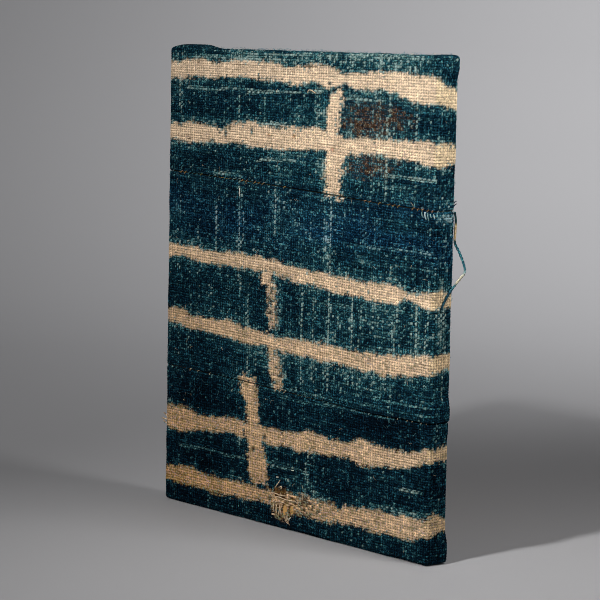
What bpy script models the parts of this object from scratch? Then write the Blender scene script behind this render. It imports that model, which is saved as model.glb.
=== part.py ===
"""Ndop cloth panel: three handwoven strips, sewn edge to edge and stretched over a thin board.

The panel stands on its lower edge. X runs along the front from left to right, the front faces -Y
and Z is up. The origin is at the middle of the lower edge. All sizes are in metres.
"""
import math

import bmesh
import bpy
import numpy as np
from mathutils import Vector, noise

# Driving dimensions
BOARD_WIDTH = 0.203
BOARD_HEIGHT = 0.254
BOARD_THICKNESS = 0.011
BOARD_EDGE_RADIUS = 0.001
CLOTH_THICKNESS = 0.001
GAP = 0.0003
FOLD_RADIUS = 0.0015
TURN_IN = 0.030
UNEVENNESS = 0.00012
RAW_EDGE_WAVE = 0.0012

# The cloth's outer form follows from the board
WRAP = CLOTH_THICKNESS + GAP
HALF_WIDTH = BOARD_WIDTH / 2 + WRAP
HALF_DEPTH = BOARD_THICKNESS / 2 + WRAP
HEIGHT = BOARD_HEIGHT + 2 * WRAP
INNER = Vector((BOARD_WIDTH / 2 + GAP, BOARD_THICKNESS / 2 + GAP, BOARD_HEIGHT / 2 + GAP))
MIDDLE = Vector((0, 0, HEIGHT / 2))
WINDOW_SIDE = HALF_WIDTH - TURN_IN
WINDOW_LOW = TURN_IN
WINDOW_HIGH = HEIGHT - TURN_IN

# The seams sag to the right: their height at places along the front
SEAM_COURSE = {
    "along": (-0.103, -0.043, 0.017, 0.062, 0.103),
    "lower": (0.0775, 0.0765, 0.0740, 0.0725, 0.0730),
    "upper": (0.1880, 0.1860, 0.1835, 0.1810, 0.1795),
}
LOWER_SEAM = 0.0750
UPPER_SEAM = 0.1835
SEAM_FREE = 0.006

# Each strip before its seams sag: from one height to the next
STRIPS = {
    "strip_bottom": (-0.01, LOWER_SEAM),
    "strip_middle": (LOWER_SEAM, UPPER_SEAM),
    "strip_top": (UPPER_SEAM, HEIGHT + 0.01),
}

# Where the cloth stands out: folded corners, laps on the back, puckers and lips along the seams.
# The rise is how far each fold stands out along X, Y and Z.
FOLD_COLUMNS = ("strip", "centre", "reach", "rise")
FOLDS = [
    ("strip_top", (-0.089, 0.000, 0.2566), (0.019, 0.012, 0.008), (0.0006, 0.0004, 0.0021)),
    ("strip_top", (0.1028, 0.003, 0.2530), (0.006, 0.013, 0.009), (0.0014, 0.0003, 0.0005)),
    ("strip_top", (0.088, 0.0068, 0.2440), (0.018, 0.004, 0.018), (0.0, 0.0009, 0.0)),
    ("strip_top", (-0.088, 0.0068, 0.2440), (0.018, 0.004, 0.018), (0.0, 0.0009, 0.0)),
    ("strip_top", (0.040, -0.0068, 0.1850), (0.075, 0.003, 0.0040), (0.0, 0.0004, 0.0)),
    ("strip_middle", (0.000, -0.0068, 0.1815), (0.110, 0.003, 0.0045), (0.0, 0.0005, 0.0)),
    ("strip_middle", (0.075, -0.0068, 0.0770), (0.045, 0.003, 0.0060), (0.0, 0.0009, 0.0)),
    ("strip_middle", (-0.050, -0.0068, 0.0765), (0.060, 0.003, 0.0040), (0.0, 0.0005, 0.0)),
    ("strip_middle", (0.1028, 0.000, 0.0780), (0.006, 0.013, 0.0120), (0.0013, 0.0, 0.0)),
    ("strip_bottom", (0.1028, 0.000, 0.0710), (0.006, 0.013, 0.0060), (0.0008, 0.0, 0.0)),
    ("strip_bottom", (0.1028, 0.0068, 0.0040), (0.008, 0.011, 0.0110), (0.0013, 0.0006, 0.0)),
    ("strip_bottom", (-0.1028, 0.0068, 0.0040), (0.008, 0.009, 0.0100), (0.0009, 0.0006, 0.0)),
    ("strip_bottom", (0.088, 0.0068, 0.0130), (0.018, 0.004, 0.0180), (0.0, 0.0009, 0.0)),
    ("strip_bottom", (-0.088, 0.0068, 0.0130), (0.018, 0.004, 0.0180), (0.0, 0.0009, 0.0)),
]

# The worn place near the lower edge, where the threads have gone
HOLE_COLUMNS = ("x", "z", "half_width", "half_height", "turn")
HOLES = [
    (-0.0091, 0.0192, 0.0024, 0.0023, 0.3),
    (-0.0003, 0.0112, 0.0040, 0.0026, 0.1),
]
HOLE_SIDES = 9

# The yarn leaves the back edge under the upper seam, bows out and is caught again on the side
YARN_DIAMETER = 0.0011
YARN_STEP = 0.0026
YARN_ROUTE = [
    (0.1041, 0.0068, 0.1785),
    (0.1043, 0.0075, 0.1750),
    (0.1044, 0.0078, 0.1722),
    (0.1043, 0.0075, 0.1675),
    (0.1043, 0.0075, 0.1633),
    (0.1056, 0.0083, 0.1592),
    (0.1080, 0.0092, 0.1535),
    (0.1088, 0.0096, 0.1493),
    (0.1070, 0.0086, 0.1462),
    (0.1047, 0.0068, 0.1422),
    (0.1041, 0.0037, 0.1387),
    (0.1040, 0.0012, 0.1353),
    (0.1039, -0.0008, 0.1322),
    (0.1039, -0.0014, 0.1302),
]

# Colour and roughness of each material
FINISHES = {
    "board": ((0.55, 0.33, 0.13, 1.0), 0.55),
    "strip_top": ((0.020, 0.055, 0.075, 1.0), 0.92),
    "strip_middle": ((0.012, 0.040, 0.060, 1.0), 0.92),
    "strip_bottom": ((0.010, 0.030, 0.042, 1.0), 0.92),
    "loose_yarn": ((0.030, 0.110, 0.120, 1.0), 0.90),
}


def clear_scene():
    """Start from an empty scene."""
    for old in list(bpy.data.objects):
        bpy.data.objects.remove(old)


def finish(name):
    """One plain material for a node."""
    colour, roughness = FINISHES[name]
    material = bpy.data.materials.new(name)
    material.use_nodes = True
    surface = material.node_tree.nodes["Principled BSDF"]
    surface.inputs["Base Color"].default_value = colour
    surface.inputs["Roughness"].default_value = roughness
    surface.inputs["Metallic"].default_value = 0.0
    return material


def place(name, data):
    """Put a mesh or a curve in the scene as one node."""
    data.materials.append(finish(name))
    node = bpy.data.objects.new(name, data)
    bpy.context.collection.objects.link(node)
    return node


def mesh_node(name, bm):
    """Turn a bmesh into a node."""
    mesh = bpy.data.meshes.new(name)
    bm.to_mesh(mesh)
    bm.free()
    return place(name, mesh)


def box(bm, half):
    """Add a box about the panel's middle and return its vertices."""
    made = bmesh.ops.create_cube(bm, size=2.0)["verts"]
    for vertex in made:
        vertex.co = Vector(c * h for c, h in zip(vertex.co, half)) + MIDDLE
    return made


def round_edges(bm, verts, radius, segments):
    """Round every edge of a box."""
    edges = {edge for vertex in verts for edge in vertex.link_edges}
    bmesh.ops.bevel(bm, geom=list(edges), offset=radius, segments=segments, profile=0.5,
                    affect="EDGES", material=-1)


def slice_mesh(bm, axis, places):
    """Cut the whole mesh across one axis at each place, keeping both sides."""
    normal = Vector((0, 0, 0))
    normal[axis] = 1
    for where in places:
        geometry = bm.verts[:] + bm.edges[:] + bm.faces[:]
        bmesh.ops.bisect_plane(bm, geom=geometry, dist=1e-6, plane_co=normal * where, plane_no=normal)


def build_board():
    """The plain wooden board that carries the cloth."""
    bm = bmesh.new()
    verts = box(bm, (BOARD_WIDTH / 2, BOARD_THICKNESS / 2, BOARD_HEIGHT / 2))
    round_edges(bm, verts, BOARD_EDGE_RADIUS, 2)
    return mesh_node("board", bm)


def in_window(point):
    """True for the middle of the back, which the turned-in cloth leaves bare."""
    behind = point.y > INNER.y - 1e-5
    return behind and abs(point.x) < WINDOW_SIDE and WINDOW_LOW < point.z < WINDOW_HIGH


def wrapped_sheet():
    """The whole cloth round the board, open at the back, before it is parted at its seams."""
    bm = bmesh.new()
    outer = box(bm, (HALF_WIDTH, HALF_DEPTH, HEIGHT / 2))
    round_edges(bm, outer, FOLD_RADIUS, 3)
    lining = box(bm, INNER)
    facing_in = [face for face in bm.faces if all(vertex in lining for vertex in face.verts)]
    bmesh.ops.reverse_faces(bm, faces=facing_in)
    slice_mesh(bm, 0, (-WINDOW_SIDE, WINDOW_SIDE))
    slice_mesh(bm, 2, (WINDOW_LOW, WINDOW_HIGH))
    bare = [face for face in bm.faces if in_window(face.calc_center_median())]
    bmesh.ops.delete(bm, geom=bare, context="FACES")
    rim = [edge for edge in bm.edges if edge.is_boundary]
    bmesh.ops.bridge_loops(bm, edges=rim)
    return bm


def keep_between(bm, low, high):
    """Keep the part of the sheet between two heights and close the cuts."""
    for height, side in ((low + GAP / 2, -1), (high - GAP / 2, 1)):
        geometry = bm.verts[:] + bm.edges[:] + bm.faces[:]
        bmesh.ops.bisect_plane(bm, geom=geometry, dist=1e-6, plane_co=(0, 0, height),
                               plane_no=(0, 0, side), clear_outer=True)
        edges = [edge for edge in bm.edges if edge.is_boundary]
        if edges:
            bmesh.ops.holes_fill(bm, edges=edges, sides=0)


def lattice(bm, low, high):
    """Give the sheet enough rows and columns to bend."""
    near_seam = (0.0022, 0.0050)
    rows = [low + step for step in near_seam] + [high - step for step in near_seam]
    inside = np.linspace(max(low, 0.0), min(high, HEIGHT), round((high - low) / 0.0115) + 1)
    rows += [row for row in inside[1:-1] if low + 0.008 < row < high - 0.008]
    slice_mesh(bm, 2, sorted(rows) + [0.0035, HEIGHT - 0.0035])
    slice_mesh(bm, 0, np.linspace(-0.096, 0.096, 18))
    slice_mesh(bm, 1, (-0.0020, 0.0025))


def is_outer(point):
    """True for the cloth's outer face, false for the face against the board."""
    inside = point - MIDDLE
    return any(abs(inside[axis]) > INNER[axis] + 1e-5 for axis in range(3))


def outward(point):
    """Direction that points straight out of the folded form."""
    core = Vector((HALF_WIDTH, HALF_DEPTH, HEIGHT / 2)) - Vector((FOLD_RADIUS,) * 3)
    inside = point - MIDDLE
    nearest = Vector(max(-c, min(c, p)) for c, p in zip(core, inside))
    return (inside - nearest).normalized()


def bump(point, centre, reach):
    """One in the middle of a fold, falling softly to nothing at its reach."""
    share = 1.0
    for p, c, r in zip(point, centre, reach):
        t = min(max((abs(p - c) / r - 0.45) / 0.55, 0.0), 1.0)
        share *= 1 - t * t * (3 - 2 * t)
    return share


def shape_cloth(bm, strip):
    """Raise the folds, wave the raw edges and let the seams sag."""
    low_sag = [height - LOWER_SEAM for height in SEAM_COURSE["lower"]]
    high_sag = [height - UPPER_SEAM for height in SEAM_COURSE["upper"]]
    anchors = (SEAM_FREE, LOWER_SEAM, UPPER_SEAM, HEIGHT - SEAM_FREE)
    folds = [dict(zip(FOLD_COLUMNS, row)) for row in FOLDS if row[0] == strip]
    for vertex in bm.verts:
        point = vertex.co.copy()
        move = Vector((0, 0, 0))
        if is_outer(point):
            out = outward(point)
            move = out * UNEVENNESS * noise.noise(point * 45)
            for fold in folds:
                move += out * Vector(fold["rise"]) * bump(point, fold["centre"], fold["reach"])
            if point.z < FOLD_RADIUS:
                move.z = 0.0
        if point.y > INNER.y - 1e-5:
            wave = RAW_EDGE_WAVE * noise.noise(Vector((point.x, 0.3, point.z)) * 60)
            if abs(abs(point.x) - WINDOW_SIDE) < 1e-5 and WINDOW_LOW <= point.z <= WINDOW_HIGH:
                move.x += wave
            if min(abs(point.z - WINDOW_LOW), abs(point.z - WINDOW_HIGH)) < 1e-5:
                if abs(point.x) <= WINDOW_SIDE + 1e-5:
                    move.z += wave
        lower = np.interp(point.x, SEAM_COURSE["along"], low_sag)
        upper = np.interp(point.x, SEAM_COURSE["along"], high_sag)
        move.z += float(np.interp(point.z, anchors, (0.0, lower, upper, 0.0)))
        vertex.co = point + move


def build_strip(name):
    """One woven strip, from its place on the front round the edges to the back."""
    low, high = STRIPS[name]
    bm = wrapped_sheet()
    keep_between(bm, low, high)
    lattice(bm, low, high)
    shape_cloth(bm, name)
    return mesh_node(name, bm)


def cut_hole(strip, number, hole):
    """Cut one worn gap through the front of a strip."""
    bm = bmesh.new()
    bmesh.ops.create_cone(bm, segments=HOLE_SIDES, radius1=1, radius2=1, depth=2, cap_ends=True)
    for vertex in bm.verts:
        angle = math.atan2(vertex.co.y, vertex.co.x)
        ragged = 1 + 0.12 * math.sin(4 * angle + number)
        across = hole["half_width"] * ragged * math.cos(angle + hole["turn"])
        up = hole["half_height"] * ragged * math.sin(angle + hole["turn"])
        into = -HALF_DEPTH + 1.15 * CLOTH_THICKNESS * vertex.co.z
        vertex.co = (hole["x"] + across, into, hole["z"] + up)
    bm.normal_update()
    bmesh.ops.recalc_face_normals(bm, faces=bm.faces)
    mesh = bpy.data.meshes.new("hole_cutter")
    bm.to_mesh(mesh)
    bm.free()
    cutter = bpy.data.objects.new("hole_cutter_" + str(number), mesh)
    bpy.context.collection.objects.link(cutter)
    cutter.hide_render = True
    cutter.display_type = "WIRE"
    cut = strip.modifiers.new("hole_" + str(number), "BOOLEAN")
    cut.operation = "DIFFERENCE"
    cut.solver = "EXACT"
    cut.object = cutter


def smooth_route(route, step):
    """Points at an even step along a smooth curve through the route's own points."""
    points = [Vector(point) for point in route]
    points = [2 * points[0] - points[1]] + points + [2 * points[-1] - points[-2]]
    fine = []
    for a, b, c, d in zip(points, points[1:], points[2:], points[3:]):
        for part in range(20):
            t = part / 20
            fine.append(0.5 * (2 * b + (c - a) * t + (2 * a - 5 * b + 4 * c - d) * t ** 2
                               + (3 * b - a - 3 * c + d) * t ** 3))
    fine.append(points[-2])
    run = np.cumsum([0.0] + [(q - p).length for p, q in zip(fine, fine[1:])])
    places = np.linspace(0, run[-1], round(run[-1] / step) + 1)
    return [tuple(float(np.interp(place, run, [point[axis] for point in fine])) for axis in range(3))
            for place in places]


def build_yarn():
    """The loose yarn on the right edge."""
    curve = bpy.data.curves.new("loose_yarn", "CURVE")
    curve.dimensions = "3D"
    curve.bevel_depth = YARN_DIAMETER / 2
    curve.bevel_resolution = 2
    curve.use_fill_caps = True
    points = smooth_route(YARN_ROUTE, YARN_STEP)
    spline = curve.splines.new("POLY")
    spline.points.add(len(points) - 1)
    for target, point in zip(spline.points, points):
        target.co = (*point, 1.0)
    return place("loose_yarn", curve)


clear_scene()
build_board()
for strip_name in STRIPS:
    strip_node = build_strip(strip_name)
    if strip_name == "strip_bottom":
        for index, hole_row in enumerate(HOLES):
            cut_hole(strip_node, index, dict(zip(HOLE_COLUMNS, hole_row)))
build_yarn()
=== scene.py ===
"""An ndop cloth: three handwoven strips, resist-dyed in indigo, stretched over a thin upright board."""
import math

import bmesh
import bpy
import numpy as np
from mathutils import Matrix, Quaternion, Vector


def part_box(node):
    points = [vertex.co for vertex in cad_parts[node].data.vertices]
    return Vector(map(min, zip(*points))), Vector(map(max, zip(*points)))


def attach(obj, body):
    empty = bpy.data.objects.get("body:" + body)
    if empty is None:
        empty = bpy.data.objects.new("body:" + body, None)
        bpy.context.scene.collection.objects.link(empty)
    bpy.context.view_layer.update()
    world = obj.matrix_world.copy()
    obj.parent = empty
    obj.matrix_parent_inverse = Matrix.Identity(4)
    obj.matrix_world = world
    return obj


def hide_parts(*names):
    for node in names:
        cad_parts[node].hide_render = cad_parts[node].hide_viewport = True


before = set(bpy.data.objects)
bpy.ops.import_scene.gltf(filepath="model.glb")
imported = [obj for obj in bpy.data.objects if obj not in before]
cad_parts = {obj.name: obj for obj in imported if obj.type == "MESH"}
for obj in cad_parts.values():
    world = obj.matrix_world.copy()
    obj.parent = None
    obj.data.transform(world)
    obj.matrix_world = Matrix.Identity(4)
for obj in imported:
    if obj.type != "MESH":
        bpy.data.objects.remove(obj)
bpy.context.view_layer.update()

# The board: one plain sanded panel of honey-coloured wood, 203 x 254 x 11 mm, cut square and eased
# at its edges. The cloth is stretched over it, so it shows in the worn hole and in the back's middle.
WOOD_LIGHT = (0.70, 0.40, 0.135, 1.0)
WOOD_DARK = (0.40, 0.205, 0.062, 1.0)
WOOD_GRAIN = (190.0, 190.0, 3.5)

# Painted shade on the board behind the worn hole, where it lies in the hole's recess: darker brown by
# height, about 14 to 28 mm up, within the lowest 30 mm
HOLE_SHADE_REACH = 0.030
HOLE_SHADE_TINTS = [
    (0.46, (1.0, 1.0, 1.0, 1.0)), (0.55, (0.25, 0.20, 0.11, 1.0)),
    (0.80, (0.22, 0.18, 0.10, 1.0)), (0.95, (1.0, 1.0, 1.0, 1.0)),
]


def node_material(name, roughness):
    """A material with its node tree, its Principled shader and an Object coordinate."""
    made = bpy.data.materials.new(name)
    made.use_nodes = True
    tree = made.node_tree
    surface = tree.nodes["Principled BSDF"]
    surface.inputs["Roughness"].default_value = roughness
    place = tree.nodes.new("ShaderNodeTexCoord").outputs["Object"]
    return made, tree, surface, place


def colour_ramp(tree, value, stops):
    """A ramp that turns a value into colours."""
    ramp = tree.nodes.new("ShaderNodeValToRGB")
    elements = ramp.color_ramp.elements
    while len(elements) < len(stops):
        elements.new(0.5)
    for element, (position, colour) in zip(elements, stops):
        element.position = position
        element.color = colour
    tree.links.new(value, ramp.inputs["Fac"])
    return ramp.outputs["Color"]


def add_node(tree, kind, sockets, **settings):
    """Add a node, give each named socket a value or a link, and return its outputs."""
    made = tree.nodes.new("ShaderNode" + kind)
    for name, value in settings.items():
        setattr(made, name, value)
    for name, value in sockets.items():
        if isinstance(value, bpy.types.NodeSocket):
            tree.links.new(value, made.inputs[name])
        else:
            made.inputs[name].default_value = value
    return made.outputs


def raise_surface(tree, surface, height, strength, depth):
    """Give a surface fine relief."""
    sockets = {"Height": height, "Strength": strength, "Distance": depth}
    tree.links.new(add_node(tree, "Bump", sockets)["Normal"], surface.inputs["Normal"])


def wood_material():
    """Straight vertical grain, darker in its late wood, with fine pores that catch a little light, and a
    band of painted shade behind the worn hole.
    """
    made, tree, surface, place = node_material("sanded_wood", 0.6)
    stretch = add_node(tree, "Mapping", {"Vector": place, "Scale": WOOD_GRAIN})["Vector"]
    sockets = {"Vector": stretch, "Scale": 1.0, "Detail": 9.0, "Roughness": 0.62, "Distortion": 0.5}
    grain = add_node(tree, "TexNoise", sockets)["Fac"]
    pores = add_node(tree, "TexNoise", {"Vector": stretch, "Scale": 14.0, "Detail": 3.0})["Fac"]
    level = add_node(tree, "SeparateXYZ", {"Vector": place})["Z"]
    run = add_node(tree, "MapRange", {"Value": level, "From Max": HOLE_SHADE_REACH})["Result"]
    tint = colour_ramp(tree, grain, [(0.35, WOOD_DARK), (0.62, WOOD_LIGHT)])
    # Painted shade: the grain darkened in a band behind the worn hole
    sockets = {"Factor": 1.0, "A": tint, "B": colour_ramp(tree, run, HOLE_SHADE_TINTS)}
    hole_shaded = add_node(tree, "Mix", sockets, data_type="RGBA", blend_type="MULTIPLY")
    tree.links.new(hole_shaded["Result"], surface.inputs["Base Color"])
    raise_surface(tree, surface, pores, 0.35, 0.0003)
    return made


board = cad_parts["board"]
board.data.materials.clear()
board.data.materials.append(wood_material())

# The cloth: three strips of coarse plain weave in handspun cotton, folded round the board and glued
# flat behind it. Each strip is one thin sheet whose threads stand out, cut and turned in 30 mm.
board_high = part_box("board")[1]
WRAP = 0.0013
HALF_WIDTH = board_high.x + WRAP
HALF_DEPTH = board_high.y + WRAP
HEIGHT = board_high.z + WRAP
MIDDLE = np.array((0.0, 0.0, HEIGHT / 2))
FOLD_RADIUS = 0.0017
SIDE = 2 * HALF_DEPTH
FRONT = 2 * HALF_WIDTH
MARGIN = 0.030
BACK_REACH = 0.045
GAP = 0.0003

# Warp threads across the front, round a side and in a turned-in margin, the rows of weft in a
# turned end, and the mesh's points to a thread where it bends most and on the front
FRONT_THREADS = 120
SIDE_THREADS = 8
MARGIN_THREADS = 17
TUCKED_ROWS = 2
TURNED_ROWS = 21
SIDE_STEPS = 3
FRONT_STEPS = 2

# How the threads stand: half the rise of a thread over its neighbours, and its own half thickness
CRIMP = 0.00020
THREAD_RADIUS = 0.00034
RIM_DEPTH = 0.0007

# How far threads wander, slack cloth lifts, and the edges at seams and laps roll in
SWAY_SLOW, SWAY_EACH = 0.00075, 0.00040
DIP_SLOW, DIP_EACH = 0.00050, 0.00020
SLACK = 0.00035
ROLL_DEPTH, ROLL_WIDTH = 0.00055, 0.0013
TUCK_DEPTH, TUCK_WIDTH = 0.0007, 0.0012

# The seams sag to the right, as the solids do
SEAM_COURSE = {
    "along": (-0.103, -0.043, 0.017, 0.062, 0.103),
    "lower": (0.0775, 0.0765, 0.0740, 0.0725, 0.0730),
    "upper": (0.1880, 0.1860, 0.1835, 0.1810, 0.1795),
}
LOWER_SEAM = 0.0750
UPPER_SEAM = 0.1835
SEAM_FREE = 0.006

BOTTOM_ROWS = 53
STRIP_COLUMNS = ("sheet", "node", "low", "high", "first_row", "rows", "flat_length")
STRIPS = [
    ("cloth_bottom", "strip_bottom", 0.0, LOWER_SEAM, 0, BOTTOM_ROWS, 0.119),
    ("cloth_middle", "strip_middle", LOWER_SEAM, UPPER_SEAM, 200, 77, 0.108),
    ("cloth_top", "strip_top", UPPER_SEAM, HEIGHT, 400, 52, 0.117),
]

# Where the cloth stands out: folded corners, laps on the back, puckers and lips along the seams.
# Each is a middle, a reach and a rise in millimetres. Both sides stand a little off the board.
FOLDS = [
    ("strip_top", (-89, 0, 256.6), (19, 12, 8), (0.6, 0.4, 2.1)),
    ("strip_top", (102.8, 3, 253), (6, 13, 9), (1.4, 0.3, 0.5)),
    ("strip_top", (88, 6.8, 244), (18, 4, 18), (0, 0.9, 0)),
    ("strip_top", (-88, 6.8, 244), (18, 4, 18), (0, 0.9, 0)),
    ("strip_top", (40, -6.8, 185), (75, 3, 4), (0, 0.4, 0)),
    ("strip_middle", (0, -6.8, 181.5), (110, 3, 4.5), (0, 0.5, 0)),
    ("strip_middle", (75, -6.8, 77.5), (55, 3, 9), (0, 1.4, 0)),
    ("strip_middle", (-50, -6.8, 76.5), (60, 3, 4), (0, 0.5, 0)),
    ("strip_middle", (102.8, 0, 78.5), (6, 13, 11), (1.9, 0, 0)),
    ("strip_bottom", (102.8, 0, 71), (6, 13, 6), (0.8, 0, 0)),
    ("strip_bottom", (102.8, 6.8, 4), (9, 12, 15), (1.6, 0.8, 0)),
    ("strip_bottom", (-102.8, 6.8, 4), (8, 9, 10), (0.9, 0.6, 0)),
    ("strip_bottom", (88, 6.8, 13), (18, 4, 18), (0, 0.9, 0)),
    ("strip_bottom", (-88, 6.8, 13), (18, 4, 18), (0, 0.9, 0)),
]
for sheet, node, *_ in STRIPS:
    FOLDS.append((node, (-102.8, 0, 130), (7, 50, 1000), (1.0, 0.6, 0)))
    FOLDS.append((node, (102.8, 0, 130), (7, 50, 1000), (0.7, 0.6, 0)))

# Gaps that wear has left near the lower edge, in millimetres: place along the front from its left
# edge, height, half width and half height
WORN_BELOW = 30
WORN_GAPS = [
    (93.3, 19.3, 2.6, 3.0), (98.7, 20.1, 2.4, 2.3), (102.7, 20.6, 0.9, 0.8), (99.6, 11.0, 2.1, 3.6),
    (105.0, 11.5, 2.2, 2.8), (95.5, 10.8, 1.1, 2.1), (98.5, 16.7, 2.2, 0.6), (106.0, 17.6, 2.6, 0.6),
    (108.5, 15.0, 2.2, 0.6), (101.0, 14.6, 1.6, 0.6),
]


def scatter(first, second=0.0, third=0.0):
    """Even numbers from 0 to 1, always the same for the same three keys."""
    mixed = np.sin(first * 12.9898 + second * 78.233 + third * 37.719) * 43758.5453
    return mixed - np.floor(mixed)


def ease(share):
    """A soft step from 0 to 1."""
    share = np.clip(share, 0.0, 1.0)
    return share * share * (3 - 2 * share)


def drift(across, up, seed):
    """Smooth numbers from 0 to 1 that wander about once for each unit."""
    left, low = np.floor(across), np.floor(up)
    right_share, high_share = ease(across - left), ease(up - low)
    lower, upper = (
        scatter(left, line, seed) * (1 - right_share) + scatter(left + 1, line, seed) * right_share
        for line in (low, low + 1))
    return lower * (1 - high_share) + upper * high_share


def stretch(start, end, first, threads, steps):
    """Thread counts and places along one stretch of threads, with a few points to a thread."""
    points = threads * steps + 1
    return np.stack((np.linspace(first, first + threads, points), np.linspace(start, end, points)))


def chain(*stretches):
    """Stretches that follow on from one another, as one."""
    return np.concatenate([stretches[0]] + [part[:, 1:] for part in stretches[1:]], axis=1)


def fold_round(along, level):
    """Where a point of the unrolled cloth lies on the board, before its edges are rounded."""
    turns = (-SIDE - BACK_REACH, -SIDE, 0.0, FRONT, FRONT + SIDE, FRONT + SIDE + BACK_REACH)
    inner = HALF_WIDTH - BACK_REACH
    width, depth = HALF_WIDTH, HALF_DEPTH
    x = np.interp(along, turns, (-inner, -width, -width, width, width, inner))
    y = np.interp(along, turns, (depth, depth, -depth, -depth, depth, depth))
    over = np.maximum(level - HEIGHT, 0.0)
    under = np.maximum(-level, 0.0)
    y = y + np.minimum(over + under, SIDE)
    z = np.clip(level, 0.0, HEIGHT) - np.maximum(over - SIDE, 0.0) + np.maximum(under - SIDE, 0.0)
    return np.stack((x, y, z), axis=1)


def read_points(mesh):
    """A mesh's vertices as rows of x, y and z."""
    flat = np.zeros(len(mesh.vertices) * 3, np.float32)
    mesh.vertices.foreach_get("co", flat)
    return flat.reshape(-1, 3)


def write_points(mesh, points):
    """Move a mesh's vertices to new places."""
    mesh.vertices.foreach_set("co", points.astype(np.float32).ravel())


def woven_grid(columns, rows):
    """A flat grid of cloth folded onto the board, which keeps each point's threads and place."""
    across_last, up_last = columns.shape[1] - 1, rows.shape[1] - 1
    grid = bmesh.new()
    bmesh.ops.create_grid(grid, x_segments=across_last, y_segments=up_last, size=0.5)
    mesh = bpy.data.meshes.new("woven_grid")
    grid.to_mesh(mesh)
    grid.free()
    flat = read_points(mesh)
    across = np.rint((flat[:, 0] + 0.5) * across_last).astype(int)
    up = np.rint((flat[:, 1] + 0.5) * up_last).astype(int)
    along, level = columns[1][across], rows[1][up]
    values = {"column": columns[0][across], "row": rows[0][up], "along": along, "level": level}
    for name, value in values.items():
        layer = mesh.attributes.new(name, "FLOAT", "POINT")
        layer.data.foreach_set("value", value.astype(np.float32))
    write_points(mesh, fold_round(along, level))
    corner = np.zeros(len(mesh.loops), np.int32)
    mesh.loops.foreach_get("vertex_index", corner)
    unrolled = np.stack((along, level), axis=1)[corner]
    layer = mesh.uv_layers.new(name="OFBake")
    layer.data.foreach_set("uv", unrolled.astype(np.float32).ravel())
    return mesh


def strip_grids(strip):
    """The flat grids of one strip: front and sides, both margins, and the end that turns over."""
    low = strip["low"] + (GAP / 2 if strip["low"] > 0 else 0.0)
    high = strip["high"] - (GAP / 2 if strip["high"] < HEIGHT else 0.0)
    rows = stretch(low, high, strip["first_row"], strip["rows"], SIDE_STEPS)
    front = stretch(0.0, FRONT, 0, FRONT_THREADS, FRONT_STEPS)
    left = stretch(-SIDE, 0.0, -SIDE_THREADS, SIDE_THREADS, SIDE_STEPS)
    right = stretch(FRONT, FRONT + SIDE, FRONT_THREADS, SIDE_THREADS, SIDE_STEPS)
    first = -SIDE_THREADS - MARGIN_THREADS
    left_margin = stretch(-SIDE - MARGIN, -SIDE, first, MARGIN_THREADS, FRONT_STEPS)
    last = FRONT_THREADS + SIDE_THREADS
    right_margin = stretch(FRONT + SIDE, FRONT + SIDE + MARGIN, last, MARGIN_THREADS, FRONT_STEPS)
    bare = (TURNED_ROWS - TUCKED_ROWS) * SIDE_STEPS
    turned = TURNED_ROWS * SIDE_STEPS
    margin_rows, ending = rows, None
    if strip["high"] >= HEIGHT:
        margin_rows = rows[:, :-bare]
        top = strip["first_row"] + strip["rows"]
        over = stretch(HEIGHT, HEIGHT + SIDE, top, SIDE_THREADS, SIDE_STEPS)
        down = np.stack((2 * top + SIDE_THREADS - rows[0], 2 * HEIGHT + SIDE - rows[1]))[:, ::-1]
        ending = chain(over, down[:, :turned + 1])
    if strip["low"] <= 0:
        margin_rows = rows[:, bare:]
        up = np.stack((-SIDE_THREADS - rows[0], -SIDE - rows[1]))[:, ::-1]
        ending = chain(up[:, -turned - 1:], left)
    grids = [woven_grid(chain(left, front, right), rows)]
    grids += [woven_grid(margin, margin_rows) for margin in (left_margin, right_margin)]
    if ending is not None:
        grids.append(woven_grid(front, ending))
    return grids


def reach_out(along, level, spot):
    """Distance from a spot's middle, counted in the spot's own half widths and half heights."""
    middle, height, half_width, half_height = spot
    return np.hypot((along - middle) / half_width, (level - height) / half_height)


def joined_strip(strip):
    """One strip's grids welded into a single sheet, with its worn gaps cut out."""
    whole = bmesh.new()
    for grid in strip_grids(strip):
        whole.from_mesh(grid)
        bpy.data.meshes.remove(grid)
    bmesh.ops.remove_doubles(whole, verts=whole.verts, dist=1e-6)
    if strip["low"] <= 0:
        along = whole.verts.layers.float["along"]
        level = whole.verts.layers.float["level"]
        worn = []
        for face in whole.faces:
            places = np.array([(vertex[along], vertex[level]) for vertex in face.verts])
            middle = places.mean(axis=0) * 1000
            if middle[1] < WORN_BELOW and any(reach_out(*middle, gap) < 1 for gap in WORN_GAPS):
                worn.append(face)
        bmesh.ops.delete(whole, geom=worn, context="FACES")
    mesh = bpy.data.meshes.new(strip["sheet"])
    whole.to_mesh(mesh)
    whole.free()
    return mesh


def read_layer(mesh, name):
    """One of the values that the grid keeps for each point."""
    values = np.zeros(len(mesh.vertices), np.float32)
    mesh.attributes[name].data.foreach_get("value", values)
    return values.astype(float)


def outward(points):
    """The nearest points of the board's core, and the directions that point straight out from it."""
    core = np.array((HALF_WIDTH, HALF_DEPTH, HEIGHT / 2)) - FOLD_RADIUS
    inside = points - MIDDLE
    nearest = np.clip(inside, -core, core)
    away = inside - nearest
    return MIDDLE + nearest, away / np.linalg.norm(away, axis=1, keepdims=True)


def fold_rise(points, out, node):
    """How far the strip's folds and laps stand out."""
    move = np.zeros_like(points)
    for fold_node, *places in FOLDS:
        centre, reach, rise = np.array(places) / 1000
        if fold_node == node:
            share = np.prod(1 - ease((np.abs(points - centre) / reach - 0.25) / 0.75), axis=1)
            move += out * rise * share[:, None]
    return move


def thread_number(place):
    """The whole number of the thread that a place lies on."""
    return np.floor(place + 1e-4)


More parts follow.
